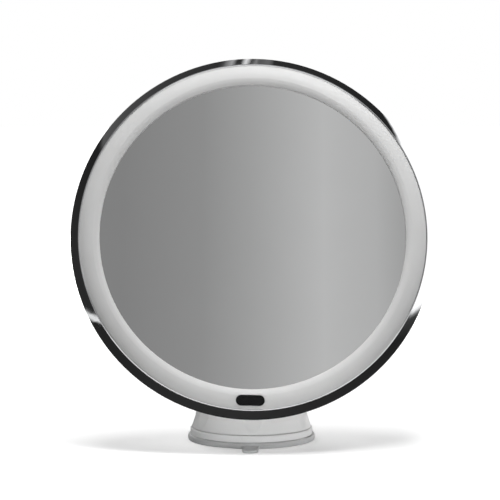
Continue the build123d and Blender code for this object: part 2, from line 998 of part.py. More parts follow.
def neck_screws():
    """Two screws of the neck's cover."""
    return group(
        back_rod(neck_screw_radius, seat_gap, screw_seat(), z)
        + back_rod(neck_screw_head_radius, screw_seat(), screw_seat() + neck_screw_head, z)
        for z in neck_screw_heights()
    )


def neck_collar():
    """Trim ring round the neck's foot."""
    inner = foot_radius + press_gap
    collar = ring(inner, inner + collar_wall, foot_low, foot_low + collar_height)
    return chamfer(collar.edges().sort_by(Axis.Z)[-1], collar_wall / 3)


def swivel_washer_ring():
    """Spring washer under the swivel screw's head."""
    return ring(
        swivel_screw_radius + running_gap, swivel_washer_radius, floor_top, floor_top + swivel_washer
    )


def swivel_screw():
    """Screw that holds the neck down on the tube of the foot."""
    seat = floor_top + swivel_washer
    shank = post(swivel_screw_radius, tube_top - swivel_screw_depth, seat)
    head = post(swivel_screw_head_radius, seat, seat + swivel_screw_head)
    slot_low = seat + swivel_screw_head / 2
    slot_high = seat + swivel_screw_head + overrun
    slot = slab(2 * swivel_screw_head_radius, swivel_screw_radius / 2, slot_low, slot_high)
    return shank + head - slot


def suction_pad():
    """Soft pad with a shallow hollow below and a pull tab at its edge."""
    edge = Polyline(
        (0, pad_hollow),
        (stem_foot_radius, pad_hollow),
        (pad_hollow_radius, 0),
        (pad_radius, 0),
        (pad_radius, pad_thickness),
        (0, pad_thickness),
        close=True,
    )
    pad = turned(edge)
    top_edge = pad.edges().filter_by(GeomType.CIRCLE).sort_by(Axis.Z)[-1]
    pad = fillet(top_edge, pad_edge_round)
    tab_centre = tab_reach - tab_width / 2
    strip_length = tab_centre - pad_radius + tab_width / 2
    strip = slab(tab_width, strip_length, 0, tab_thickness, 0, -tab_centre + strip_length / 2)
    tab = strip + post(tab_width / 2, 0, tab_thickness, 0, -tab_centre)
    recess = post(stem_foot_radius + stem_gap, stem_foot_low, pad_thickness + overrun)
    return pad + Rot(0, 0, tab_turn) * tab - recess


def cup_stem():
    """Stem that lifts the middle of the cup."""
    foot = post(stem_foot_radius, stem_foot_low, stem_foot_top)
    shaft = post(tube_bore - stem_gap, stem_foot_low, stem_top)
    return foot + shaft - rod(pin_radius + press_gap, -tube_radius, tube_radius, 0, pin_height)


def stem_pin():
    """Cross pin through the stem, the tube and the cam sleeve."""
    return rod(pin_radius, -pin_half, pin_half, 0, pin_height)


def base_core():
    """Pressure plate on the pad, with the tube that guides the stem and carries the neck."""
    plate = turned_polygon(
        (0, pad_thickness),
        (core_radius, pad_thickness),
        (core_radius, core_top - core_step),
        (core_radius - core_step, core_top),
        (well_radius + tube_root_wall, core_top),
        (well_radius + tube_root_wall, root_top),
        (tube_radius, root_top),
        (tube_radius, tube_top),
        (0, tube_top),
    )
    well = post(well_radius, pad_thickness - overrun, well_top)
    bore = post(tube_bore, well_top - overrun, bore_top)
    slot_half_width = pin_radius + pin_slot_gap
    slot = slab(2 * sleeve_outer, 2 * slot_half_width, pin_height, pin_height + stem_lift)
    slot = slot + rod(slot_half_width, -sleeve_outer, sleeve_outer, 0, pin_height)
    slot = slot + rod(slot_half_width, -sleeve_outer, sleeve_outer, 0, pin_height + stem_lift)
    screw_hole = post(swivel_screw_radius + press_gap, bore_top - overrun, tube_top + overrun)
    return plate - well - bore - slot - screw_hole


def cap_retainer():
    """Ring pressed on the tube, which keeps the twist cap down."""
    inner = tube_radius + press_gap
    return ring(inner, inner + retainer_ring_width, retainer_low, retainer_top)


def cap_outline():
    """Section of the twist cap: leaning side, round shoulder, flat top and hollow inside."""
    side_top = cap_low + cap_side_height
    side_radius = cap_radius - cap_side_inset
    dome = EllipticalCenterArc(
        (cap_top_radius, side_top), side_radius - cap_top_radius, cap_top - side_top, 0, arc_size=90
    )
    hole = tube_radius + running_gap
    hollow = cap_radius - cap_side_inset - cap_wall
    rest = Polyline(
        dome @ 1,
        (hole, cap_top),
        (hole, cap_ceiling),
        (sleeve_outer + cap_wall, cap_ceiling),
        (hollow, side_top),
        (hollow, cap_low),
        (cap_radius, cap_low),
        dome @ 0,
    )
    return dome + rest


def twist_cap():
    """Dome that is turned by hand to pull the cup up."""
    cap = turned(cap_outline())
    place = cap_radius - cap_side_inset + grip_radius - grip_depth
    scoop = Pos(place, 0, cap_top - grip_drop) * Sphere(grip_radius)
    grips = PolarLocations(0, grip_count, start_angle=-90)
    for grip in grips:
        cap = cap - grip * scoop
    return cap


def cam_sleeve():
    """Sleeve under the cap, whose slanting slots lift the cross pin."""
    sleeve = ring(sleeve_inner, sleeve_outer, sleeve_low, cap_ceiling)
    middle = (sleeve_inner + sleeve_outer) / 2
    half_turn = math.radians(cap_turn / 2)
    reach = middle * math.sin(half_turn)
    slope = stem_lift / 2 / reach
    half_height = (pin_radius + cam_gap) * math.sqrt(1 + slope**2)
    run_out = reach + pin_radius + cam_gap
    centre = pin_height + stem_lift / 2
    lowest = pin_height - pin_radius - cam_gap
    highest = pin_height + stem_lift + pin_radius + cam_gap
    outline = Polyline(
        (-run_out, -run_out * slope - half_height),
        (run_out, run_out * slope - half_height),
        (run_out, run_out * slope + half_height),
        (-run_out, -run_out * slope + half_height),
        close=True,
    )
    slanted = Pos(0, 0, centre) * extrude(Plane.YZ * make_face(outline), amount=sleeve_outer + overrun)
    window = slanted & slab(4 * sleeve_outer, 4 * sleeve_outer, lowest, highest)
    turn = Rot(0, 0, cap_turn / 2)
    return sleeve - turn * window - turn * Rot(0, 0, 180) * window


head_pieces = {
    "chrome_rim": chrome_rim(),
    "diffuser_ring": diffuser_ring(),
    "power_button": power_button(),
    "led_board": led_board(),
    "leds": leds(),
    "tact_switch": tact_switch(),
    "switch_plunger": switch_plunger(),
    "mirror_glass": dish(glass_radius, glass_edge, glass_thickness),
    "mirror_foam": dish(glass_radius - foam_inset, foam_edge, foam_thickness),
    "mirror_tray": mirror_tray(),
    "rear_housing": rear_housing(),
    "housing_screws": housing_screws(),
    "battery_box": battery_box(),
    "battery_springs": battery_springs(),
    "battery_plates": battery_plates(),
    "battery_door": battery_door(),
    "door_pins": door_pins(),
    "control_board": control_board(),
    "board_screws": board_screws(),
    "battery_leads": battery_leads(),
    "led_lead": led_lead(),
}
for number in range(battery_count):
    head_pieces[f"battery_{number + 1}"] = battery(number)

knuckle_pieces = {
    "tilt_knuckle": tilt_knuckle(),
    "roll_washer": roll_washer(),
    "roll_retainer": roll_retainer(),
    "retainer_screws": retainer_screw_set(),
}

pieces = {
    "friction_washers": friction_washers(),
    "hinge_bolt": hinge_bolt(),
    "hinge_nut": hinge_nut(),
    "hinge_caps": hinge_caps(),
    "neck_arm": neck_arm(),
    "neck_cover": neck_cover(),
    "neck_screws": neck_screws(),
    "neck_collar": neck_collar(),
    "swivel_washer": swivel_washer_ring(),
    "swivel_screw": swivel_screw(),
    "suction_pad": suction_pad(),
    "cup_stem": cup_stem(),
    "stem_pin": stem_pin(),
    "base_core": base_core(),
    "cap_retainer": cap_retainer(),
    "twist_cap": twist_cap(),
    "cam_sleeve": cam_sleeve(),
}
for name, piece in knuckle_pieces.items():
    pieces[name] = knuckle_place * piece
for name, piece in head_pieces.items():
    pieces[name] = head_place * piece

os.makedirs("parts", exist_ok=True)
for name, piece in pieces.items():
    export_step(piece, f"parts/{name}.step")
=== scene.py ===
import json
import math

import bmesh
import bpy
import numpy as np
from mathutils import Matrix, Vector


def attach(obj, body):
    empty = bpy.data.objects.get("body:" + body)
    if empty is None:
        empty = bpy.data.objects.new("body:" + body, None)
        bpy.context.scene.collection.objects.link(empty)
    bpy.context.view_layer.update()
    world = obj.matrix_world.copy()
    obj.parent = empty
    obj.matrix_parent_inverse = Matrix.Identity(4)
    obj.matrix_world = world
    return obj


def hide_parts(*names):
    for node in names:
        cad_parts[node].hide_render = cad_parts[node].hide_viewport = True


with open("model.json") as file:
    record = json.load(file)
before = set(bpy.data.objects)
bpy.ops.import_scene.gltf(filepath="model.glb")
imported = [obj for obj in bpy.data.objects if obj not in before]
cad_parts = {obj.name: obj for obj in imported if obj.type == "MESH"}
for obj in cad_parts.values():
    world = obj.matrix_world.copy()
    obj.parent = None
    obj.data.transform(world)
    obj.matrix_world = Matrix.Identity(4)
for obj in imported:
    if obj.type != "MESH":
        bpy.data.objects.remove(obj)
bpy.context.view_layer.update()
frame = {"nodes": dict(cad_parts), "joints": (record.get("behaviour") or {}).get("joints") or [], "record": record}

nodes_of_frame = frame["nodes"]
joints = {joint["name"]: joint for joint in frame["joints"]}


# Places of the head in metres, read from the joints

hinge = Vector(joints["head_tilt"]["pos_m"])
normal = Vector(joints["head_roll"]["axis"]).normalized()
side = Vector(joints["door_swing"]["axis"]).normalized()
upward = normal.cross(side).normalized()
hinge_distance = 0.040155
head_centre = hinge + normal * hinge_distance
head_frame = Matrix((
    (side.x, upward.x, normal.x, head_centre.x),
    (side.y, upward.y, normal.y, head_centre.y),
    (side.z, upward.z, normal.z, head_centre.z),
    (0, 0, 0, 1),
))
millimetre = 0.001


# Node helpers


class Shading:
    """A material with its Principled shader and small helpers for its nodes."""

    def __init__(self, name):
        self.material = bpy.data.materials.new(name)
        self.material.use_nodes = True
        self.tree = self.material.node_tree
        self.shader = self.tree.nodes["Principled BSDF"]
        self.place = self.add("ShaderNodeTexCoord").outputs["Object"]

    def add(self, kind, **settings):
        node = self.tree.nodes.new(kind)
        for key, value in settings.items():
            setattr(node, key, value)
        return node

    def link(self, source, target):
        self.tree.links.new(source, target)

    def set(self, **values):
        for key, value in values.items():
            self.shader.inputs[key.replace("_", " ")].default_value = value

    def stretch(self, scale, turn=(0, 0, 0)):
        """The object's own coordinates, scaled and turned."""
        node = self.add("ShaderNodeMapping")
        node.inputs["Scale"].default_value = scale
        node.inputs["Rotation"].default_value = turn
        self.link(self.place, node.inputs["Vector"])
        return node.outputs["Vector"]

    def noise(self, scale, detail=3.0, roughness=0.55, place=None):
        node = self.add("ShaderNodeTexNoise")
        node.inputs["Scale"].default_value = scale
        node.inputs["Detail"].default_value = detail
        node.inputs["Roughness"].default_value = roughness
        self.link(place or self.place, node.inputs["Vector"])
        return node.outputs["Fac"]

    def cells(self, scale):
        node = self.add("ShaderNodeTexVoronoi")
        node.inputs["Scale"].default_value = scale
        self.link(self.place, node.inputs["Vector"])
        return node.outputs["Distance"]

    def spread(self, source, low, high, start=0.3, end=0.7):
        """A value that runs from low to high while the source runs from start to end."""
        node = self.add("ShaderNodeMapRange")
        node.inputs["From Min"].default_value = start
        node.inputs["From Max"].default_value = end
        node.inputs["To Min"].default_value = low
        node.inputs["To Max"].default_value = high
        self.link(source, node.inputs["Value"])
        return node.outputs["Result"]

    def ramp(self, source, *stops):
        """Colours at stops from 0 to 1, blended in a straight line between them."""
        node = self.add("ShaderNodeValToRGB")
        elements = node.color_ramp.elements
        elements.remove(elements[1])
        elements[0].position, elements[0].color = stops[0][0], tone(stops[0][1])
        for position, colour in stops[1:]:
            elements.new(position).color = tone(colour)
        self.link(source, node.inputs["Fac"])
        return node.outputs["Color"]

    def mix(self, share, first, second):
        node = self.add("ShaderNodeMix", data_type="RGBA")
        self.give(share, node.inputs["Factor"])
        self.give(first, node.inputs["A"], True)
        self.give(second, node.inputs["B"], True)
        return node.outputs["Result"]

    def blend(self, source, first, second, start=0.3, end=0.7):
        """Colour that runs from first to second while the source runs from start to end."""
        return self.mix(self.spread(source, 0, 1, start, end), first, second)

    def give(self, value, target, colour=False):
        """Links a socket to the target, or sets the target to a plain value."""
        if isinstance(value, bpy.types.NodeSocket):
            self.link(value, target)
        elif colour:
            target.default_value = tone(value)
        else:
            target.default_value = value

    def sums(self, operation, first, second=0.0, third=0.0):
        """One step of arithmetic on sockets or plain values."""
        node = self.add("ShaderNodeMath", operation=operation)
        for value, target in zip((first, second, third), node.inputs):
            self.give(value, target)
        return node.outputs["Value"]

    def edges(self, radius):
        """Soft edge normal, and a mask that rises to 1 along edges."""
        bevel = self.add("ShaderNodeBevel", samples=6)
        bevel.inputs["Radius"].default_value = radius
        geometry = self.add("ShaderNodeNewGeometry")
        dot = self.add("ShaderNodeVectorMath", operation="DOT_PRODUCT")
        self.link(bevel.outputs["Normal"], dot.inputs[0])
        self.link(geometry.outputs["Normal"], dot.inputs[1])
        mask = self.spread(dot.outputs["Value"], 1.0, 0.0, 0.86, 0.995)
        return bevel.outputs["Normal"], mask

    def bump(self, height, distance, strength=1.0, normal_source=None):
        node = self.add("ShaderNodeBump")
        node.inputs["Strength"].default_value = strength
        node.inputs["Distance"].default_value = distance
        self.link(height, node.inputs["Height"])
        if normal_source is not None:
            self.link(normal_source, node.inputs["Normal"])
        self.link(node.outputs["Normal"], self.shader.inputs["Normal"])

    def colour(self, source):
        self.link(source, self.shader.inputs["Base Color"])

    def rough(self, source):
        self.link(source, self.shader.inputs["Roughness"])


def tone(value):
    """Grey value or colour as a four-part colour."""
    if isinstance(value, (int, float)):
        return (value, value, value, 1.0)
    return (*value, 1.0)


# Materials


def chrome():
    look = Shading("rim_chrome")
    look.set(Metallic=1.0)
    cloud = look.noise(38, 3)
    wear = look.noise(420, 5, 0.7, look.stretch((1, 1, 6)))
    look.colour(look.blend(cloud, (0.80, 0.81, 0.82), (0.88, 0.88, 0.89)))
    look.rough(look.spread(wear, 0.035, 0.09, 0.35, 0.75))
    look.bump(look.noise(140, 2), 0.00002, 0.6)
    return look.material


def silvering():
    look = Shading("mirror_silver")
    look.set(Metallic=1.0)
    smudge = look.noise(24, 5, 0.62)
    look.colour(look.blend(smudge, (0.925, 0.93, 0.93), (0.945, 0.95, 0.95)))
    look.rough(look.spread(look.noise(60, 6, 0.7), 0.0, 0.035, 0.48, 0.8))
    return look.material


def opal():
    look = Shading("opal")
    look.set(Subsurface_Weight=0.12, Subsurface_Scale=0.004, Coat_Weight=0.12, Coat_Roughness=0.2)
    look.shader.inputs["Subsurface Radius"].default_value = (1.0, 0.95, 0.9)
    cloud = look.noise(70, 4)
    look.colour(look.blend(cloud, (0.86, 0.86, 0.855), (0.882, 0.882, 0.877)))
    look.rough(look.spread(look.noise(900, 3), 0.34, 0.39))
    soft, _ = look.edges(0.0004)
    look.bump(look.noise(2600, 2), 0.000012, 0.2, soft)
    return look.material


def shell():
    look = Shading("white_shell")
    look.set(Coat_Weight=0.25, Coat_Roughness=0.08)
    cloud = look.noise(45, 4)
    dust = look.noise(1500, 6, 0.75)
    soft, mask = look.edges(0.00045)
    plain = look.blend(cloud, (0.882, 0.882, 0.877), (0.893, 0.893, 0.888))
    dusty = look.mix(look.spread(dust, 0, 0.12, 0.62, 0.85), plain, (0.72, 0.71, 0.69))
    look.colour(look.mix(look.sums("MULTIPLY", mask, 0.5), dusty, (0.93, 0.93, 0.925)))
    look.rough(look.spread(look.noise(420, 3), 0.29, 0.33))
    look.bump(look.noise(1100, 2), 0.00001, 0.15, soft)
    return look.material


def gloss():
    look = Shading("black_gloss")
    look.set(Specular_IOR_Level=0.25)
    soft, mask = look.edges(0.0003)
    base = look.blend(look.noise(300, 4), (0.004, 0.004, 0.0044), (0.009, 0.009, 0.0095))
    look.colour(look.mix(look.sums("MULTIPLY", mask, 0.6), base, (0.03, 0.03, 0.031)))
    look.rough(look.spread(look.noise(800, 5), 0.14, 0.28))
    look.bump(look.noise(2200, 2), 0.000008, 0.5, soft)
    return look.material


def soft_pad():
    look = Shading("clear_pad")
    look.set(Transmission_Weight=0.18, IOR=1.45, Subsurface_Weight=0.4, Subsurface_Scale=0.004)
    look.shader.inputs["Subsurface Radius"].default_value = (1.0, 1.0, 1.0)
    cloud = look.noise(60, 2)
    look.colour(look.blend(cloud, (0.63, 0.635, 0.635), (0.69, 0.695, 0.695)))
    look.rough(look.spread(look.noise(300, 2), 0.30, 0.40))
    look.bump(look.noise(900, 2), 0.000006, 0.5)
    return look.material


def steel():
    look = Shading("steel")
    look.set(Metallic=1.0)
    soft, mask = look.edges(0.0002)
    grain = look.noise(700, 4, 0.6, look.stretch((1, 1, 9)))
    base = look.blend(grain, (0.50, 0.50, 0.51), (0.66, 0.66, 0.67))
    look.colour(look.mix(look.sums("MULTIPLY", mask, 0.6), base, (0.80, 0.80, 0.81)))
    look.rough(look.spread(look.noise(500, 5), 0.22, 0.42))
    look.bump(grain, 0.00001, 0.6, soft)
    return look.material


def board():
    look = Shading("board_green")
    look.set(Coat_Weight=0.3, Coat_Roughness=0.15)
    tracks = look.add("ShaderNodeTexBrick")
    tracks.inputs["Scale"].default_value = 160
    tracks.inputs["Mortar Size"].default_value = 0.06
    tracks.inputs["Color1"].default_value = tone((0.015, 0.13, 0.05))
    tracks.inputs["Color2"].default_value = tone((0.02, 0.16, 0.07))
    tracks.inputs["Mortar"].default_value = tone((0.05, 0.26, 0.12))
    look.link(look.stretch((1, 1, 1), (math.radians(90), 0, 0)), tracks.inputs["Vector"])
    dirt = look.spread(look.noise(500, 4), 0, 0.3)
    look.colour(look.mix(dirt, tracks.outputs["Color"], (0.03, 0.1, 0.05)))
    look.rough(look.spread(look.noise(900, 3), 0.3, 0.5))
    look.bump(tracks.outputs["Fac"], 0.00004, 0.5)
    return look.material


def phosphor():
    look = Shading("led_yellow")
    dots = look.cells(1400)
    look.colour(look.blend(dots, (0.86, 0.72, 0.20), (0.92, 0.84, 0.45), 0.1, 0.6))
    look.rough(look.spread(look.noise(900, 3), 0.35, 0.5))
    look.bump(dots, 0.00003, 0.5)
    return look.material


def foam():
    look = Shading("foam")
    cell = look.cells(1100)
    look.colour(look.blend(cell, (0.03, 0.03, 0.032), (0.11, 0.11, 0.115), 0.05, 0.6))
    look.rough(look.spread(look.noise(700, 3), 0.85, 0.98))
    look.bump(cell, 0.0003, 0.8)
    return look.material


def wrap():
    look = Shading("battery_wrap")
    look.set(Coat_Weight=0.4, Coat_Roughness=0.1)
    along = look.add("ShaderNodeSeparateXYZ")
    look.link(look.add("ShaderNodeTexCoord").outputs["Generated"], along.inputs["Vector"])
    band = look.ramp(
        along.outputs["X"],
        (0.0, (0.62, 0.61, 0.58)), (0.045, (0.62, 0.61, 0.58)), (0.05, (0.03, 0.05, 0.09)),
        (0.95, (0.04, 0.06, 0.11)), (0.955, (0.62, 0.61, 0.58)), (1.0, (0.66, 0.65, 0.62)),
    )
    look.colour(look.mix(look.spread(look.noise(400, 5, 0.7), 0, 0.2), band, (0.25, 0.26, 0.28)))
    look.rough(look.spread(look.noise(600, 4), 0.2, 0.36))
    look.bump(look.noise(180, 2), 0.00004, 0.5)
    return look.material


def wire():
    look = Shading("wire_red")
    look.colour(look.blend(look.noise(700, 4), (0.34, 0.015, 0.012), (0.48, 0.03, 0.02)))
    look.rough(look.spread(look.noise(900, 3), 0.35, 0.5))
    look.bump(look.noise(2500, 2), 0.00002, 0.5)
    return look.material


def washer():
    look = Shading("washer_dark")
    fibre = look.noise(900, 5, 0.7, look.stretch((1, 5, 1)))
    look.colour(look.blend(fibre, (0.05, 0.05, 0.055), (0.13, 0.13, 0.135)))
    look.rough(look.spread(look.noise(700, 3), 0.45, 0.65))
    look.bump(fibre, 0.00003, 0.6)
    return look.material


finishes = {
    "rim_chrome": chrome(),
    "mirror_silver": silvering(),
    "opal": opal(),
    "white_shell": shell(),
    "black_gloss": gloss(),
    "clear_pad": soft_pad(),
    "steel": steel(),
    "board_green": board(),
    "led_yellow": phosphor(),
    "foam": foam(),
    "battery_wrap": wrap(),
    "wire_red": wire(),
    "washer_dark": washer(),
}

for subpart in frame["record"]["subparts"]:
    node = nodes_of_frame[subpart["node"]]
    node.data.materials.clear()
    node.data.materials.append(finishes[subpart["material_slot"]])
    for polygon in node.data.polygons:
        polygon.material_index = 0


# Mesh helpers


def mesh_object(name, vertices, faces, material):
    """A smooth-shaded object with one material."""
    mesh = bpy.data.meshes.new(name)
    mesh.from_pydata([tuple(vertex) for vertex in vertices], [], faces)
    mesh.materials.append(material)
    mesh.validate()
    for polygon in mesh.polygons:
        polygon.use_smooth = True
    made = bpy.data.objects.new(name, mesh)
    bpy.context.scene.collection.objects.link(made)
    return made


def arc(centre, radii, start, end, steps):
    """Points of an elliptical arc in a section, angles in degrees."""
    points = []
    for step in range(steps + 1):
        angle = math.radians(start + (end - start) * step / steps)
        across, up = radii[0] * math.cos(angle), radii[1] * math.sin(angle)
        points.append((centre[0] + across, centre[1] + up))
    return points


def lathe(section, turns):
    """Vertices and faces of a closed section turned about the vertical, all in millimetres."""
    vertices = []
    for turn in range(turns):
        angle = 2 * math.pi * turn / turns
        for radius, height in section:
            vertices.append((radius * math.cos(angle), radius * math.sin(angle), height))
    count = len(section)
    faces = []
    for turn in range(turns):
        following = (turn + 1) % turns
        for index in range(count):
            after = (index + 1) % count
            faces.append((
                turn * count + index, following * count + index,
                following * count + after, turn * count + after,
            ))
    return vertices, faces


def applied(made):
    """The object with its modifiers made final."""
    graph = bpy.context.evaluated_depsgraph_get()
    mesh = bpy.data.meshes.new_from_object(made.evaluated_get(graph))
    made.modifiers.clear()
    made.data = mesh
    return made


def outward(made):
    """Turns every face's front to the outside."""
    mesh = bmesh.new()
    mesh.from_mesh(made.data)
    bmesh.ops.recalc_face_normals(mesh, faces=mesh.faces)
    mesh.to_mesh(made.data)
    mesh.free()


def split_at_edges(made):
    """The object with outward faces, smooth but for its sharp edges."""
    outward(made)
    sharp = made.modifiers.new("sharp", "EDGE_SPLIT")
    sharp.split_angle = math.radians(30)
    return applied(made)


# Soft suction pad with its pull tab, in millimetres like the pieces below

pad_radius = 36.0
pad_hollow = 1.2
pad_thickness = 3.5
pad_bore = 9.5
pad_recess = 1.7
pad_upper_round = 1.1
pad_lower_round = 0.55
pad_voxel = 0.34
tab_width = 9.0
tab_reach = 49.5
tab_thickness = 1.8
tab_turn = -2.0
tab_root = 3.0
tab_flare = 1.6
tab_ease = 0.3
rib_start = 38.5
rib_half_length = 3.4
rib_pitch = 2.2
rib_height = 0.14
rib_sink = 0.16
groove_radius = 34.6
groove_half_width = 0.4
groove_depth = 0.18

# Radii on the pad's flat top, and radius and height along its underside from the rim inward
pad_top = (14, 20, 26, 31)
pad_underside = (
    (33.5, 0.0), (32.2, 0.0), (31.0, 0.08), (29.5, 0.3), (26, 0.62), (20, 0.95), (14, 1.15),
)


def pad_section():
    """Section of the pad from the bore outwards over the top and back below."""
    points = [(pad_bore, pad_recess), (pad_bore, pad_thickness)]
    points += [(radius, pad_thickness) for radius in pad_top]
    upper, lower = pad_upper_round, pad_lower_round
    points += arc((pad_radius - upper, pad_thickness - upper), (upper, upper), 90, 0, 5)
    points += arc((pad_radius - lower, lower), (lower, lower), 0, -90, 3)
    points += pad_underside
    points.append((pad_bore, pad_hollow))
    return points


def tab_mesh():
    """Flat tongue with a rounded end, wider where it leaves the pad."""
    half = tab_width / 2
    root = [
        (half + tab_flare, pad_radius - tab_root),
        (half + tab_ease, pad_radius + 2 * tab_ease),
        (half, pad_radius + tab_root),
    ]
    centre = tab_reach - half
    end_steps = 12
    outline = [(-x, y) for x, y in root]
    for step in range(end_steps + 1):
        angle = math.radians(180 - 180 / end_steps * step)
        outline.append((half * math.cos(angle), centre + half * math.sin(angle)))
    outline += reversed(root)
    count = len(outline)
    vertices = [(x, -y, 0.0) for x, y in outline] + [(x, -y, tab_thickness) for x, y in outline]
    faces = [tuple(range(count)), tuple(range(2 * count - 1, count - 1, -1))]
    for index in range(count):
        after = (index + 1) % count
        faces.append((index, count + index, count + after, after))
    return vertices, faces


def turned_about(points, degrees):
    """The points turned about the vertical."""
    spin = Matrix.Rotation(math.radians(degrees), 4, "Z")
    return [spin @ Vector(point) for point in points]


def suction_pad():
    vertices, faces = lathe(pad_section(), 160)
    tongue, tongue_faces = tab_mesh()
    tongue = turned_about(tongue, tab_turn)
    start = len(vertices)
    vertices = [Vector(vertex) for vertex in vertices] + tongue
    faces = faces + [tuple(start + index for index in face) for face in tongue_faces]
    placed = [vertex * millimetre for vertex in vertices]
    made = mesh_object("pad_soft", placed, faces, finishes["clear_pad"])
    outward(made)
    remesh = made.modifiers.new("even", "REMESH")
    remesh.mode = "VOXEL"
    remesh.voxel_size = pad_voxel * millimetre
    remesh.use_smooth_shade = True
    ease = made.modifiers.new("ease", "SMOOTH")
    ease.factor = 0.5
    ease.iterations = 5
    made = applied(made)
    ribs(made)
    return made


def ribs(made):
    """Fine finger ribs across the tab, and a shallow moulded groove round the pad's top."""
    spin = Matrix.Rotation(math.radians(-tab_turn), 3, "Z")
    for vertex in made.data.vertices:
        point = spin @ (vertex.co / millimetre)
        on_tab = point.z > tab_thickness / 2 and -point.y > rib_start
        if on_tab and abs(point.x) < rib_half_length:
            wave = math.cos((-point.y - rib_start) / rib_pitch * 2 * math.pi)
            vertex.co.z += (rib_height * wave - rib_sink) * millimetre
        on_top = point.z > pad_thickness / 2
        off_groove = abs(math.hypot(point.x, point.y) - groove_radius) / groove_half_width
        if on_top and off_groove < 1:
            vertex.co.z -= groove_depth * (1 - off_groove) * millimetre
    made.data.materials.clear()
    made.data.materials.append(finishes["clear_pad"])
    for polygon in made.data.polygons:
        polygon.use_smooth = True


pad = suction_pad()
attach(pad, "base")
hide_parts("suction_pad")
pad.visible_glossy = False


# Mirror plate: concave silvered glass with a ground edge

glass_radius = 85.25
glass_edge = -2.6
glass_thickness = 2.0
glass_chamfer = 0.35
mirror_curve = 800.0


def curved(radius):
    """Height of the mirror's front at a radius, in the head's own frame."""
    edge_sag = mirror_curve - math.sqrt(mirror_curve**2 - glass_radius**2)
    return glass_edge - edge_sag + mirror_curve - math.sqrt(mirror_curve**2 - radius**2)


def mirror_plate():
    """Plate with its front, edge and back turned finely, and its middle closed by two caps."""
    turns, front_rings, back_rings = 180, 44, 12
    middle = 0.4
    flat = glass_radius - glass_chamfer
    front = [(radius, curved(radius)) for radius in np.linspace(middle, flat, front_rings)]
    edge = [
        (glass_radius, curved(glass_radius) - glass_chamfer),
        (glass_radius, curved(glass_radius) - glass_thickness + glass_chamfer),
    ]
    back = [
        (radius, curved(radius) - glass_thickness)
        for radius in np.linspace(flat, middle, back_rings)
    ]
    vertices, faces = lathe(front + edge + back, turns)
    count = len(front) + len(edge) + len(back)
    last = count - 1
    faces = [face for face in faces if not (face[0] % count == last and face[3] % count == 0)]
    faces.append(tuple(turn * count for turn in range(turns)))
    faces.append(tuple(turn * count + last for turn in reversed(range(turns))))
    placed = [head_frame @ (Vector(vertex) * millimetre) for vertex in vertices]
    made = mesh_object("mirror_plate", placed, faces, finishes["mirror_silver"])
    return split_at_edges(made)


plate = mirror_plate()
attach(plate, "head")
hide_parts("mirror_glass")


# Polished bead along the rim's inner edge, over its gap to the light ring

bead_centre = (95.51, -0.58)
bead_round = 1.2
bead_start, bead_end = 96, 132
bead_outer_foot = (95.42, 0.40)
bead_inner_feet = [(94.72, 0.12), (95.12, 0.08)]


def rim_bead():
    """Rounded bead, with its outer foot in the rim and its inner ones over the gap."""
    top = arc(bead_centre, (bead_round, bead_round), bead_start, bead_end, 8)
    vertices, faces = lathe([bead_outer_foot] + top + bead_inner_feet, 240)
    placed = [head_frame @ (Vector(vertex) * millimetre) for vertex in vertices]
    made = mesh_object("rim_bead", placed, faces, finishes["rim_chrome"])
    return split_at_edges(made)


bead = rim_bead()
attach(bead, "head")


# Contact springs of the batteries, as coils of wire

box_centre = 47.0
battery_count = 4
battery_pitch = 10.9
first_battery = box_centre - (battery_count - 1) / 2 * battery_pitch
battery_places = [first_battery + index * battery_pitch for index in range(battery_count)]
battery_axis = -18.905
spring_wall = 24.15
spring_length = 3.4
spring_turns = 3.5
spring_radius = 2.35
spring_narrow = 1.7
wire_radius = 0.22
closed_share = 0.12


def coil_points():
    """Middle line of one coil, wider at the wall, with a closed turn at either end."""
    points = []
    steps = 96
    for step in range(steps + 1):
        share = step / steps
        turn = 2 * math.pi * spring_turns * share
        radius = spring_radius + (spring_narrow - spring_radius) * share
        climb = min(max((share - closed_share) / (1 - 2 * closed_share), 0.0), 1.0)
        rise = wire_radius + (spring_length - 2 * wire_radius) * climb
        points.append(Vector((rise, radius * math.cos(turn), radius * math.sin(turn))))
    return points


def tube(points, radius):
    """Vertices and faces of a round wire along a line of points."""
    sides = 8
    vertices = []
    faces = []
    for index, point in enumerate(points):
        ahead = points[min(index + 1, len(points) - 1)] - points[max(index - 1, 0)]
        ahead.normalize()
        across = ahead.cross(Vector((1, 0, 0))).normalized()
        over = ahead.cross(across)
        for side_index in range(sides):
            angle = 2 * math.pi * side_index / sides
            vertices.append(point + (across * math.cos(angle) + over * math.sin(angle)) * radius)
    for index in range(len(points) - 1):
        for side_index in range(sides):
            after = (side_index + 1) % sides
            here, there = index * sides, (index + 1) * sides
            faces.append((here + side_index, here + after, there + after, there + side_index))
    faces.append(tuple(range(sides - 1, -1, -1)))
    faces.append(tuple(range(len(vertices) - sides, len(vertices))))
    return vertices, faces


def contact_springs():
    """A coil at one end of each battery, every second one the other way round."""
    vertices = []
    faces = []
    wire_vertices, wire_faces = tube(coil_points(), wire_radius)
    for index, height in enumerate(battery_places):
        way = 1 if index % 2 == 0 else -1
        start = len(vertices)
        for vertex in wire_vertices:
            place = Vector((
                way * (vertex.x - spring_wall),
                height + way * vertex.y,
                battery_axis + vertex.z,
            ))
            vertices.append(head_frame @ (place * millimetre))
        faces += [tuple(start + corner for corner in face) for face in wire_faces]
    made = mesh_object("contact_springs", vertices, faces, finishes["steel"])
    outward(made)
    return made


springs = contact_springs()
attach(springs, "head")
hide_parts("battery_springs")


# Camera, in metres, degrees and pixels

camera_azimuth = -1.2
camera_elevation = 4.5
camera_distance = 1.2
sensor_width = 36.0
image_side = 500
pixels_per_metre = 1832.0
centre_shift_right = 3.0
centre_shift_up = 14.1

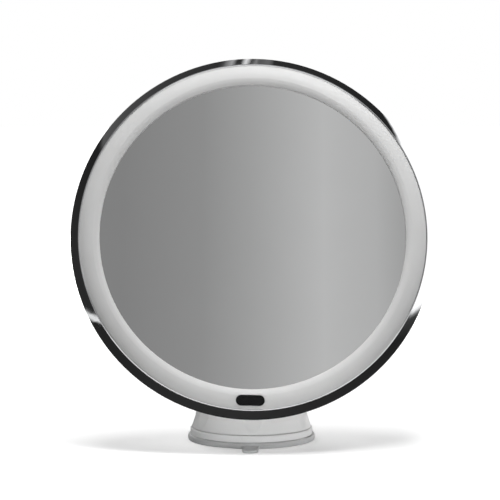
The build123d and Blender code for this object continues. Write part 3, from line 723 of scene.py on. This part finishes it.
azimuth, elevation = math.radians(camera_azimuth), math.radians(camera_elevation)
away = Vector((
    math.sin(azimuth) * math.cos(elevation),
    -math.cos(azimuth) * math.cos(elevation),
    math.sin(elevation),
))
camera_right = Vector((math.cos(azimuth), math.sin(azimuth), 0))
camera_up = away.cross(camera_right)
camera_data = bpy.data.cameras.new("camera")
camera_data.sensor_width = sensor_width
camera_data.lens = sensor_width * pixels_per_metre * camera_distance / image_side
camera_data.clip_start = 0.05
camera_data.clip_end = 50
camera = bpy.data.objects.new("camera", camera_data)
bpy.context.scene.collection.objects.link(camera)
bpy.context.scene.camera = camera
camera.location = head_centre + away * camera_distance
aim = head_centre - camera_right * (centre_shift_right / pixels_per_metre)
aim = aim - camera_up * (centre_shift_up / pixels_per_metre)
camera.rotation_mode = "QUATERNION"
camera.rotation_quaternion = (aim - camera.location).to_track_quat("-Z", "Y")


# Floor, studio tent and lights


def floor(lift):
    """White paper with the object's shadow, plain white further off, and grey to other rays."""
    half = 6.0
    steps = 24
    fade_start, fade_end = 0.35, 1.1
    vertices = []
    faces = []
    for row in range(steps + 1):
        for column in range(steps + 1):
            vertices.append((half * (2 * column / steps - 1), half * (2 * row / steps - 1), 0.0))
    for row in range(steps):
        for column in range(steps):
            corner = row * (steps + 1) + column
            faces.append((corner, corner + 1, corner + steps + 2, corner + steps + 1))
    look = Shading("floor_paper")
    look.set(Roughness=0.9)
    look.shader.inputs["Specular IOR Level"].default_value = 0.0
    grain = look.noise(900, 3)
    look.colour(look.blend(grain, 0.93, 0.96))
    look.bump(grain, 0.00002, 0.2)
    shown = look.add("ShaderNodeEmission")
    distance = look.add("ShaderNodeVectorMath", operation="LENGTH")
    look.link(look.place, distance.inputs[0])
    glow = look.spread(distance.outputs["Value"], lift, 1.0, fade_start, fade_end)
    look.link(glow, shown.inputs["Strength"])
    both = look.add("ShaderNodeAddShader")
    look.link(look.shader.outputs["BSDF"], both.inputs[0])
    look.link(shown.outputs["Emission"], both.inputs[1])
    unseen = look.add("ShaderNodeBsdfDiffuse")
    unseen.inputs["Color"].default_value = tone(0.5)
    rays = look.add("ShaderNodeLightPath")
    choose = look.add("ShaderNodeMixShader")
    seen = look.sums("MAXIMUM", rays.outputs["Is Camera Ray"], rays.outputs["Is Transmission Ray"])
    look.link(seen, choose.inputs["Fac"])
    look.link(unseen.outputs["BSDF"], choose.inputs[1])
    look.link(both.outputs["Shader"], choose.inputs[2])
    output = look.tree.nodes["Material Output"]
    look.link(choose.outputs["Shader"], output.inputs["Surface"])
    made = mesh_object("floor", vertices, faces, look.material)
    made.visible_glossy = False


# Brightness of the studio panels by their angle, in degrees from the right, counterclockwise
panel_levels = (
    # lower left, with a short white panel
    (-180, 0.026), (-159, 0.026), (-158, 0.88), (-155.8, 0.88), (-155, 0.020),
    # bottom, and the broad white panel on the right
    (-95, 0.030), (-31, 0.018), (-21.5, 0.05), (-19, 1.25), (31, 1.25), (35, 0.018),
    # narrow panels at the top
    (83, 0.028), (85, 0.20), (86.8, 0.05), (88.4, 0.28), (89.6, 0.04), (91, 0.03),
    (91.8, 1.7), (92.6, 0.03), (94.3, 0.03), (95, 1.7), (95.8, 0.03), (97.4, 0.30),
    (98.6, 0.028),
    # upper left, with a faint grey panel
    (120, 0.050), (144.2, 0.10), (145, 0.016), (180, 0.026),
)

# Grey of the card by the camera, which the mirror shows, across its width
card_levels = ((0.03, 0.36), (0.12, 0.45), (0.27, 0.50), (0.48, 0.36), (0.62, 0.28), (0.85, 0.23))
card_span = (-0.083, 0.177)
card_border = (0.80, 0.88)

# Borders of the two outer cards, as the share of a direction that points to the camera
edge_card_border = (0.30, 0.36)
side_card_border = (0.34, 0.46)
side_card_greys = (0.16, 0.34)
side_card_span = (-0.9, 0.9)

# Lean of the panels at the top, which fades out between two angles in radians
panel_lean = 0.2
lean_span = (0.9, 1.3)


def tent():
    """A ball of studio panels that only reflections see: dark, with white and grey panels."""
    radius = 3.5
    rows, columns = 24, 48
    vertices = []
    faces = []
    for row in range(rows + 1):
        lift = math.pi * (row / rows - 0.5)
        for column in range(columns):
            turn = 2 * math.pi * column / columns
            vertices.append(head_centre + Vector((
                radius * math.cos(lift) * math.cos(turn),
                radius * math.cos(lift) * math.sin(turn),
                radius * math.sin(lift),
            )))
    for row in range(rows):
        for column in range(columns):
            following = (column + 1) % columns
            faces.append((
                row * columns + column, row * columns + following,
                (row + 1) * columns + following, (row + 1) * columns + column,
            ))
    look = Shading("studio_panels")
    look.tree.nodes.remove(look.shader)
    offset = look.add("ShaderNodeVectorMath", operation="SUBTRACT")
    look.link(look.place, offset.inputs[0])
    offset.inputs[1].default_value = head_centre
    direction = look.add("ShaderNodeVectorMath", operation="NORMALIZE")
    look.link(offset.outputs["Vector"], direction.inputs[0])

    def part(axis):
        node = look.add("ShaderNodeVectorMath", operation="DOT_PRODUCT")
        look.link(direction.outputs["Vector"], node.inputs[0])
        node.inputs[1].default_value = axis
        return node.outputs["Value"]

    rightward, ahead, above = part(camera_right), part(away), part(camera_up)
    turn = look.sums("ARCTAN2", above, rightward)
    raised = look.sums("GREATER_THAN", turn)
    slant = look.sums("MULTIPLY", raised, look.spread(turn, panel_lean, 0.0, *lean_span))
    share = look.spread(look.sums("MULTIPLY_ADD", ahead, slant, turn), 0.0, 1.0, -math.pi, math.pi)

    panels = look.ramp(share, *(((angle + 180) / 360, level) for angle, level in panel_levels))
    height, width = look.sums("ABSOLUTE", above), look.sums("ABSOLUTE", rightward)
    upright = look.sums("GREATER_THAN", height, width)
    edge_card = look.sums("MULTIPLY", upright, look.spread(ahead, 0.0, 1.0, *edge_card_border))
    side_card = look.spread(rightward, *side_card_greys, *side_card_span)
    panels = look.mix(look.spread(ahead, 0.0, 1.0, *side_card_border), panels, side_card)
    panels = look.mix(edge_card, panels, 1.0)
    card = look.ramp(look.spread(rightward, 0.0, 1.0, *card_span), *card_levels)
    panels = look.mix(look.spread(ahead, 0.0, 1.0, *card_border), panels, card)
    shine = look.add("ShaderNodeEmission")
    look.link(panels, shine.inputs["Color"])
    look.link(shine.outputs["Emission"], look.tree.nodes["Material Output"].inputs["Surface"])
    made = mesh_object("tent", vertices, faces, look.material)
    made.visible_camera = False
    made.visible_diffuse = False
    made.visible_transmission = False
    made.visible_shadow = False
    made.visible_volume_scatter = False


def sky(strength):
    """White to the camera, in reflections and through clear parts, and a weak fill elsewhere."""
    world = bpy.data.worlds.new("studio")
    bpy.context.scene.world = world
    world.use_nodes = True
    tree = world.node_tree
    backdrop = tree.nodes["Background"]
    backdrop.inputs["Color"].default_value = (1, 1, 1, 1)
    backdrop.inputs["Strength"].default_value = 1.0
    fill = tree.nodes.new("ShaderNodeBackground")
    fill.inputs["Color"].default_value = (1, 1, 1, 1)
    fill.inputs["Strength"].default_value = strength
    rays = tree.nodes.new("ShaderNodeLightPath")
    seen = rays.outputs["Is Camera Ray"]
    for kind in ("Is Glossy Ray", "Is Transmission Ray"):
        either = tree.nodes.new("ShaderNodeMath")
        either.operation = "MAXIMUM"
        tree.links.new(seen, either.inputs[0])
        tree.links.new(rays.outputs[kind], either.inputs[1])
        seen = either.outputs["Value"]
    choose = tree.nodes.new("ShaderNodeMixShader")
    tree.links.new(seen, choose.inputs["Fac"])
    tree.links.new(fill.outputs["Background"], choose.inputs[1])
    tree.links.new(backdrop.outputs["Background"], choose.inputs[2])
    tree.links.new(choose.outputs["Shader"], tree.nodes["World Output"].inputs["Surface"])


def hang(data, direction):
    """The light as an object that shines in a direction and isn't seen itself."""
    made = bpy.data.objects.new(data.name, data)
    bpy.context.scene.collection.objects.link(made)
    made.rotation_mode = "QUATERNION"
    made.rotation_quaternion = Vector(direction).to_track_quat("-Z", "Y")
    made.visible_camera = False
    made.visible_glossy = False
    return made


def lamp(name, place, target, size, power):
    data = bpy.data.lights.new(name, "AREA")
    data.shape = "RECTANGLE"
    data.size, data.size_y = size
    data.energy = power
    hang(data, Vector(target) - Vector(place)).location = place


def spot(name, place, target, cone, power):
    data = bpy.data.lights.new(name, "SPOT")
    data.spot_size = math.radians(cone)
    data.spot_blend = 0.6
    data.shadow_soft_size = 0.05
    data.energy = power
    hang(data, Vector(target) - Vector(place)).location = place


def sun(name, direction, softness, strength):
    data = bpy.data.lights.new(name, "SUN")
    data.angle = math.radians(softness)
    data.energy = strength
    hang(data, direction)


floor(0.35)
tent()
sky(0.13)
sun("lamp_top", (0.035, 0.17, -1.0), 18, 1.15)
lamp("lamp_key", (0.09, -0.24, 0.48), (0, -0.04, 0.13), (0.10, 0.10), 0.78)
lamp("lamp_back", (-0.5, 1.3, 0.45), (0, 0, 0.12), (0.9, 0.7), 14.0)
spot("lamp_foot_right", (0.5, -0.8, 0.05), (0.016, 0, -0.026), 7.4, 21.0)
spot("lamp_foot_left", (-0.40, -0.82, 0.05), (-0.012, 0, -0.026), 7.4, 12.5)

settings = bpy.context.scene.view_settings
settings.view_transform = "Standard"
